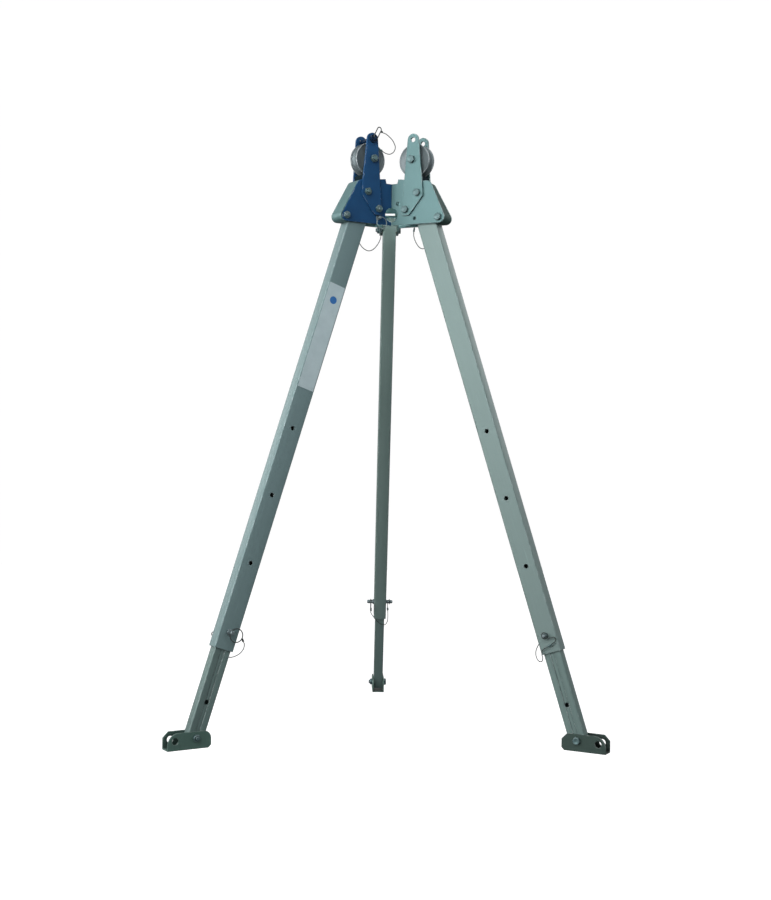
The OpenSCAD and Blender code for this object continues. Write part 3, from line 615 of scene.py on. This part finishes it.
def sleeve(name, line, share, body):
    reach, radius = crimpSet["long"] / 2, crimpSet["radius"]
    dent, (waist, swell) = radius - crimpSet["dent"], crimpSet["waist"]
    at, steps = int(share * (len(line) - 1)), max(1, int(reach / wireSet["step"]))
    low, high = line[max(at - steps, 0)], line[min(at + steps, len(line) - 1)]
    aim = (high - low).to_track_quat("Z", "Y").to_matrix().to_4x4()
    half = [(dent, waist), (radius, swell), (radius, reach - crimpSet["chamfer"]), (dent, reach),
            (crimpSet["bore"], reach)]
    shape = Shape()
    shape.ringLathe(Matrix.Translation((low + high) / 2) @ aim, [(r, -z) for r, z in half[::-1]] + half, 20)
    return shape.piece(name, body, "zinc_steel", boltFinish)


def declareCord(wire, line, crimps):
    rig.cord(wire, exit=line[0], length=round(pathLength(line), 4), diameter=wireSet["thick"],
            far_end="object", stiffness="stiff", lay="hanging", path=line, with_pieces=crimps)


def mmLine(first, points, last=None):  # straight leads at the ends, an even curve between them
    line = mm([first]) + smoothPath(mm(points), 8)
    return line + mm([last]) if last is not None else line


# leg lanyards, in mm from the middle of the leg pin: from the pin's ring to the hook on its other end
leadSet = {"long": 3, "gap": 0.1}
ringSet = {"aim": math.radians(170), "ferruleAim": math.radians(135), "radius": 19, "ferrule": 10, "eye": 31}
hookSet = {"radius": 9, "side": -31}


def offRing(reach):  # a point past the ring's far side, along its ferrule
    aim, ferruleAim, far = ringSet["aim"], ringSet["ferruleAim"], 2 * ringSet["radius"]
    return Vector((far * math.cos(aim) + reach * math.cos(ferruleAim), ringSet["eye"],
                   -far * math.sin(aim) - reach * math.sin(ferruleAim)))


hookTurns = [math.radians(a) for a in range(-60, -301, -40)]
hook = [(hookSet["radius"] * math.cos(a), hookSet["side"], hookSet["radius"] * math.sin(a))
        for a in hookTurns]
legRoute = mmLine(offRing(ringSet["ferrule"] + leadSet["gap"]), [
    offRing(ringSet["ferrule"] + leadSet["long"]), offRing(ringSet["ferrule"] + 2 * leadSet["long"]),
    (-54, 26, -25), (-58, 18, -34), (-58, 8, -46), (-53, -3, -57), (-44, -13, -65), (-33, -21, -66),
    (-26, -26, -58), (-25, -27, -48), (-20, -27, -38), (-9, -27, -33), (6, -27, -29), (20, -27, -25),
    (28, -27, -18), (25, -27, -11), (16, -28, -10)] + hook)
for side in sideTurn:
    wire, line = layWire("legLanyard_" + side, "leg_wire_" + side, legRoute, pinMatrix(side),
                         ("leg_pin_" + side, (0, -0.020, 0), (0, 0.029, 0)))
    declareCord(wire, line, [sleeve("legCrimp_" + side, line, crimpSet["leg"], "upper_leg_" + side)])

# wire loops under the head: their outline as shares of the width and the drop, and their sizes in mm
loopShape = ((-0.03, 0.2), (-0.02, 0.42), (0.09, 0.67), (0.28, 0.9), (0.5, 1), (0.72, 0.93), (0.9, 0.75),
             (1.02, 0.5), (1.02, 0.25))
loopSet = {"left": {"start": 20, "w": -27, "wide": 78, "drop": 72},
           "right": {"start": 65, "w": 27, "wide": 56, "drop": 65}}


def loopRoute(start, w, wide, drop):
    low = layout["headBottom"] * 1000
    return mmLine((start, w, low - leadSet["gap"]), [(start, w, low - leadSet["long"])]
                  + [(start + wide * across, w, low - drop * down) for across, down in loopShape]
                  + [(start + wide, w, low - leadSet["long"])], (start + wide, w, low - leadSet["gap"]))


for side, loop in loopSet.items():
    wire, line = layWire("headLoop_" + side, "head_wire_" + side, loopRoute(**loop), headMatrix(side))
    declareCord(wire, line, [sleeve("loopCrimp%d_%s" % (i, side), line, share, "head")
                             for i, share in enumerate(crimpSet["loop"])])

# retaining pin's lanyard, in mm from the hinge height: from the link on the pin to the arm's edge
retainSet = {"spot": (88, 229), "aim": math.radians(-117), "eye": 49, "linkWide": 13, "grip": 28,
             "ferrule": 6}
armSet = {"low": (53, 14), "topRadius": 18, "topTurn": math.radians(175), "along": 188, "side": 32}
armLow = Vector(armSet["low"])
armTop = armSet["topRadius"] * Vector((math.cos(armSet["topTurn"]), math.sin(armSet["topTurn"])))
armEdge = (Vector(retainSet["spot"]) + armTop - armLow).normalized()
armEnd = armLow + armEdge * armSet["along"]


def offLink(reach):  # a point beside the middle of the link
    aim, grip, (x, z) = retainSet["aim"], retainSet["grip"], retainSet["spot"]
    return Vector((x + grip * math.cos(aim) + reach * math.sin(aim), retainSet["eye"],
                   z - grip * math.sin(aim) + reach * math.cos(aim)))


def offArm(reach):  # a point off the arm's edge
    return Vector((armEnd[0] - reach * armEdge[1], armSet["side"], armEnd[1] + reach * armEdge[0]))


linkSide = retainSet["linkWide"] / 2 + retainSet["ferrule"]
retainRoute = mmLine(offLink(linkSide + leadSet["gap"]), [
    offLink(linkSide + leadSet["long"]), (54, 48, 246), (46, 47, 243), (37, 46, 238), (27, 45, 231),
    (19, 43, 222), (14, 41, 213), (15, 39, 203), (20, 37, 196), (29, 36, 191), (39, 35, 191), (48, 34, 194),
    (56, 33, 199), offArm(leadSet["long"])], offArm(leadSet["gap"]))
wire, line = layWire("retainingLanyard", "retaining_wire", retainRoute, headMatrix("left"),
                     ("retaining", (0, 0.033, 0), (0, 0.048, 0)))
declareCord(wire, line, [sleeve("retainingCrimp", line, crimpSet["retaining"], "head")])
print("wires laid")


# CAD pieces with their edges broken, as a maker would file them
edgeSet = {"merge": 2e-6, "flat": math.radians(0.6), "hard": math.radians(40), "sharp": 20}


def softened(node, finish, width=0.0006, steps=2):
    mesh = nodes[node].data.copy()
    mesh.name = node + "_soft"
    work = bmesh.new()
    work.from_mesh(mesh)
    bmesh.ops.remove_doubles(work, verts=work.verts, dist=edgeSet["merge"])
    bmesh.ops.dissolve_limit(work, angle_limit=edgeSet["flat"], verts=work.verts, edges=work.edges)
    bmesh.ops.recalc_face_normals(work, faces=work.faces)
    hard = [e for e in work.edges if len(e.link_faces) == 2 and e.calc_face_angle(0) > edgeSet["hard"]]
    bmesh.ops.bevel(work, geom=hard, offset=width, offset_type="OFFSET", segments=steps, profile=0.5,
                    affect="EDGES", clamp_overlap=True, material=-1)
    work.to_mesh(mesh)
    work.free()
    obj = bpy.data.objects.new(node + "_soft", mesh)
    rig.replaces(settle(obj, bodyOf[node], slotOf[node], finish, edgeSet["sharp"]), node)


sideFinish = {"leg_tube": legFinish, "inner_tube": innerFinish, "foot_metal": footFinish}
for name, obj in nodes.items():  # every node starts with its slot's finish
    slot, side = slotOf[name], name.rsplit("_", 1)[-1]
    finish = sideFinish[slot][side] if slot in sideFinish else finishOf.get(slot)
    if name == "retaining_pin":
        finish = navyPaint
    if finish is not None:
        obj.data.materials.clear()
        obj.data.materials.append(finish)

for name in ("plate_front_left", "arm_left_near", "arm_left_far"):
    softened(name, bluePaint)
for name in ("plate_front_right", "plate_rear_left", "plate_rear_right", "arm_right_near", "arm_right_far",
             "web_left", "web_rear"):
    softened(name, plateFinish)
# painted shade on the right web
softened("web_right", shadedWebFinish)
for side in sideTurn:
    softened("outer_tube_" + side, legFinish[side], 0.0005)
    softened("inner_tube_" + side, innerFinish[side], 0.0004)
    softened("foot_" + side, footFinish[side], 0.0008)
    softened("leg_hinge_" + side, hingeFinish, 0.0008)
softened("rope_guards", blackPlastic, 0.0018, 3)
print("plates, tubes and feet softened")

# bolts and nuts: turned-down hexagons and rolled threads
boltSet = {"thread": 0.00175, "threadDeep": 0.0008, "over": 0.004, "headGap": 0.0002, "dish": 0.0004,
           "runOut": 0.002, "tip": 0.0009, "tipLong": 0.001}
nutSet = {"face": 0.465, "mouth": 0.0012, "gap": 0.00005, "mouthDeep": 0.001}
boltSize = {"radius": 0.006, "wide": 0.019, "tall": 0.008}
axleSize = {"radius": 0.007, "wide": 0.020, "tall": 0.009}
boltHalf = {"arm": 0.035, "hinge": 0.029, "foot": 0.0196}


def threaded(radius, low, high):  # profile of a bolt end with its thread
    out, at = [], low
    while at + boltSet["thread"] < high - boltSet["tipLong"]:
        out += [(radius, at), (radius - boltSet["threadDeep"], at + boltSet["thread"] / 2)]
        at += boltSet["thread"]
    return out + [(radius, at), (radius - boltSet["tip"], high), (0, high)]


def addBolt(shape, place, spot, half, turn, radius, wide, tall):
    back = place @ alongY(spot, -half) @ Matrix.Rotation(math.pi, 4, "X") @ Matrix.Rotation(turn, 4, "Z")
    shape.hexHead(back, wide, tall - boltSet["headGap"], boltSet["dish"])
    end = threaded(radius, half - boltSet["runOut"], half + tall + boltSet["over"])
    shape.lathe(place @ alongY(spot), [(0, -half), (radius, -half)] + end, 28)


def addNut(shape, place, spot, half, turn, radius, wide, tall):
    front = place @ alongY(spot, half) @ Matrix.Rotation(turn, 4, "Z")
    bore = radius + nutSet["gap"]
    points = hexRing(wide, 0, False) + hexRing(wide, tall, True)
    for r, height in ((wide * nutSet["face"], tall), (radius + nutSet["mouth"], tall),
                      (bore, tall - nutSet["mouthDeep"]), (bore, 0)):
        points += circle(r, height, 12)
    bottom = [[60 + k, 60 + (k + 1) % 12, (k + 1) % 12, k] for k in range(12)]
    shape.add(front, points, rowFaces(5, 12) + bottom)


# outward and up from the hinge height
upperBolt, lowerBolt, axleSpot, hingeSpot = (0.103, 0.074), (0.065, 0.027), (0.084, 0.172), (0.170, 0.0)
turnList = (0.2, 0.9, 0.5, 0.05, 0.7, 0.35)  # how far the heads and nuts happen to be turned
armBolts, armNuts, axleBolts, axleNuts, hingeBolts, hingeNuts = (Shape() for i in range(6))
for i, side in enumerate(sideTurn):
    place = headMatrix(side)
    if side != "rear":
        for j, spot in enumerate((upperBolt, lowerBolt)):
            addBolt(armBolts, place, spot, boltHalf["arm"], turnList[i + 2 * j], **boltSize)
            addNut(armNuts, place, spot, boltHalf["arm"], turnList[i + j], **boltSize)
        addBolt(axleBolts, place, axleSpot, boltHalf["arm"], turnList[i + 3], **axleSize)
        addNut(axleNuts, place, axleSpot, boltHalf["arm"], turnList[i], **axleSize)
    addBolt(hingeBolts, place, hingeSpot, boltHalf["hinge"], turnList[i + 1], **boltSize)
    addNut(hingeNuts, place, hingeSpot, boltHalf["hinge"], turnList[i + 2], **boltSize)
    footShape = Shape()
    addBolt(footShape, footMatrix(side), (0, 0), boltHalf["foot"], turnList[i], **boltSize)
    addNut(footShape, footMatrix(side), (0, 0), boltHalf["foot"], turnList[i + 1], **boltSize)
    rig.replaces(footShape.piece("footBolt_" + side, "lower_leg_" + side, "zinc_steel", boltFinish),
                "foot_axle_" + side)
for shape, name, node in ((armBolts, "armBolts", "arm_bolts"), (armNuts, "armNuts", "arm_nuts"),
                          (axleBolts, "axleBolts", "axle_bolts"), (axleNuts, "axleNuts", "axle_nuts"),
                          (hingeBolts, "hingeBolts", "hinge_bolts"), (hingeNuts, "hingeNuts", "hinge_nuts")):
    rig.replaces(shape.piece(name, "head", "zinc_steel", boltFinish), node)
print("bolts made")

# pulley wheels with a rounded rope groove, a raised hub and a raised rim
wheelSet = {"radius": 0.049, "half": 0.018, "bore": 0.00705, "hub": 0.020, "groove": 0.010,
            "grooveHalf": 0.0138, "grooveFlare": 1.2, "grooveTop": 0.97, "lip": 0.0035, "edge": 0.0003,
            "sunk": 0.0014, "turns": 72}
for side in ("left", "right"):
    r, h, hub, bore = wheelSet["radius"], wheelSet["half"], wheelSet["hub"], wheelSet["bore"]
    deep, floorOff, rim = wheelSet["groove"], h - wheelSet["sunk"], r - wheelSet["edge"]
    groove = [(rim, -h + wheelSet["lip"])]
    for k in range(13):
        a = math.pi * k / 12
        rise = deep * (1 - math.sin(a)) ** wheelSet["grooveFlare"] * wheelSet["grooveTop"]
        groove.append((r - deep + rise, -wheelSet["grooveHalf"] * math.cos(a)))
    groove.append((rim, h - wheelSet["lip"]))
    half = [(bore, h), (bore + 0.0008, h), (hub - 0.0008, h), (hub, h - 0.0004), (hub + 0.0008, h - 0.0012),
            (hub + 0.002, floorOff), (r - 0.0050, floorOff), (r - 0.0038, h - 0.0004), (r - 0.0030, h),
            (r - 0.0012, h), (rim, h - 0.0008)]
    wheel = Shape()
    wheel.ringLathe(headMatrix(side) @ alongY(axleSpot), [(a, -b) for a, b in half] + groove + half[::-1],
                    wheelSet["turns"])
    turned = wheel.piece("pulleyWheel_" + side, "sheave_" + side, "sheave_metal", sheaveFinish, 40)
    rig.replaces(turned, "sheave_" + side)
print("pulley wheels turned")

# label: bare silver foil with one plain blue dot
labelSet = {"dot": (-0.046, 0.020, -0.247), "dotRadius": 0.011, "dotBlur": 0.0004, "cloud": 26.0,
            "metal": 0.35}
foil, tree, shader = startFinish("labelFoil")
spot = addNode(tree, "ShaderNodeTexCoord").outputs["Object"]
cloud = noise(tree, spot, labelSet["cloud"], 6.0)
base = mixColour(tree, cloudy(tree, cloud, 0, 1), tone(colours["foil"], 0.9), tone(colours["foil"], 1.08))
away = vectorMaths(tree, "DISTANCE", spot, legMatrix("left") @ Vector(labelSet["dot"]))
onDot = spread(tree, away, labelSet["dotRadius"], labelSet["dotRadius"] + labelSet["dotBlur"], 1, 0)
tree.links.new(mixColour(tree, onDot, base, tone(colours["dot"])), shader.inputs["Base Color"])
tree.links.new(cloudy(tree, cloud, 0.28, 0.42), shader.inputs["Roughness"])
shader.inputs["Metallic"].default_value = labelSet["metal"]
dented(tree, shader, cloud, 0.2, deep=0.0004)
softened("leg_label", foil, 0.0002)
print("label placed")

# floor and backdrops; the floor lies low enough to show a foot that swings down and a leg that is drawn out
studioSet = {"low": -0.8, "high": 30, "floorGlow": 0.80, "floorGrey": 0.5, "wallGlow": 1.0}


def stagePiece(name, corners, glow, grey=0.0):
    mesh = bpy.data.meshes.new(name)
    mesh.from_pydata(corners, [], [(0, 1, 2, 3)])
    sheet = bpy.data.objects.new(name, mesh)
    scene.collection.objects.link(sheet)
    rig.stage(sheet)
    paper, tree, shader = startFinish(name + "Paper")
    shader.inputs["Base Color"].default_value = (grey, grey, grey, 1)
    shader.inputs["Roughness"].default_value = 0.9
    shader.inputs["Emission Color"].default_value = (1, 1, 1, 1)
    shader.inputs["Emission Strength"].default_value = glow
    mesh.materials.append(paper)
    sheet.visible_diffuse = False
    sheet.visible_glossy = False
    return sheet


def flat(left, right, near, far):
    return [(x, y, studioSet["low"]) for x, y in ((left, near), (right, near), (right, far), (left, far))]


def upright(start, end):
    low, high = studioSet["low"], studioSet["high"]
    return [(*start, low), (*end, low), (*end, high), (*start, high)]


stagePiece("studioFloor", flat(-30, 30, -12, 30), studioSet["floorGlow"], studioSet["floorGrey"])
stagePiece("backdrop", upright((-40, 14), (40, 14)), studioSet["wallGlow"])
# the other sides of the studio, seen when the camera goes round
for name, corners in (("studioApron", flat(-30, 30, -40, -12)),
                      ("wallLeft", upright((-29, -39), (-29, 15))),
                      ("wallFront", upright((-30, -39), (30, -39))),
                      ("wallRight", upright((29, -39), (29, 15)))):
    stagePiece(name, corners, studioSet["wallGlow"]).visible_shadow = False

# sky and lamps
skySet = {"sky": 0.58, "ground": 0.22, "blur": 0.3}
lampSet = {
    "keyLight": {"place": (-4.2, -2.4, 2.1), "target": (0, 0, 0.75), "size": 4.2, "power": 200},
    "fillLight": {"place": (4.2, -2.6, 2.2), "target": (0, 0, 0.9), "size": 2.6, "power": 20,
                  "colour": (0.86, 1.0, 1.14)},
    "frontLight": {"place": (-1.2, -3.2, 2.6), "target": (0, 0, 1.1), "size": 2.0, "power": 88},
    "sideLightLeft": {"place": (-3.6, 2.2, 2.0), "target": (0, 0, 0.9), "size": 2.0, "power": 48},
    "sideLightRight": {"place": (2.3, 1.4, 2.5), "target": (0, 0, 1.2), "size": 2.4, "power": 34},
    "insideLight": {"place": (0, shiftY - 0.01, hingeZ + 0.05), "target": (0, shiftY + 0.1, hingeZ + 0.03),
                    "size": 0.03, "power": 0.4, "shown": False},
    "bounceLight": {"place": (0, shiftY, 1.0), "target": (0, shiftY, 1.5), "size": 0.25, "power": 0.15,
                    "shown": False},
}
world = bpy.data.worlds.new("studioWorld")
scene.world = world
world.use_nodes = True
tree = world.node_tree
aim = addNode(tree, "ShaderNodeTexCoord").outputs["Generated"]
height = addNode(tree, "ShaderNodeSeparateXYZ", {"Vector": aim}).outputs["Z"]
glow = spread(tree, height, -skySet["blur"], skySet["blur"], skySet["ground"], skySet["sky"])
tree.nodes["Background"].inputs["Color"].default_value = (1, 1, 1, 1)
tree.links.new(glow, tree.nodes["Background"].inputs["Strength"])


def addLight(name, place, target, size, power, colour=(1, 1, 1), shown=True):
    data = bpy.data.lights.new(name, "AREA")
    data.size = size
    data.energy = power
    data.color = colour
    lamp = bpy.data.objects.new(name, data)
    scene.collection.objects.link(lamp)
    lamp.location = place
    lamp.rotation_euler = (Vector(target) - Vector(place)).to_track_quat("-Z", "Y").to_euler()
    lamp.visible_camera = False
    lamp.visible_glossy = shown


for name, lamp in lampSet.items():
    addLight(name, **lamp)
scene.view_settings.view_transform = "Standard"
print("stage lit")

json.dump({"cad": cadBox, "visual": [list(corner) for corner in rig.bounds()]}, open("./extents.json", "w"))
print("size written")
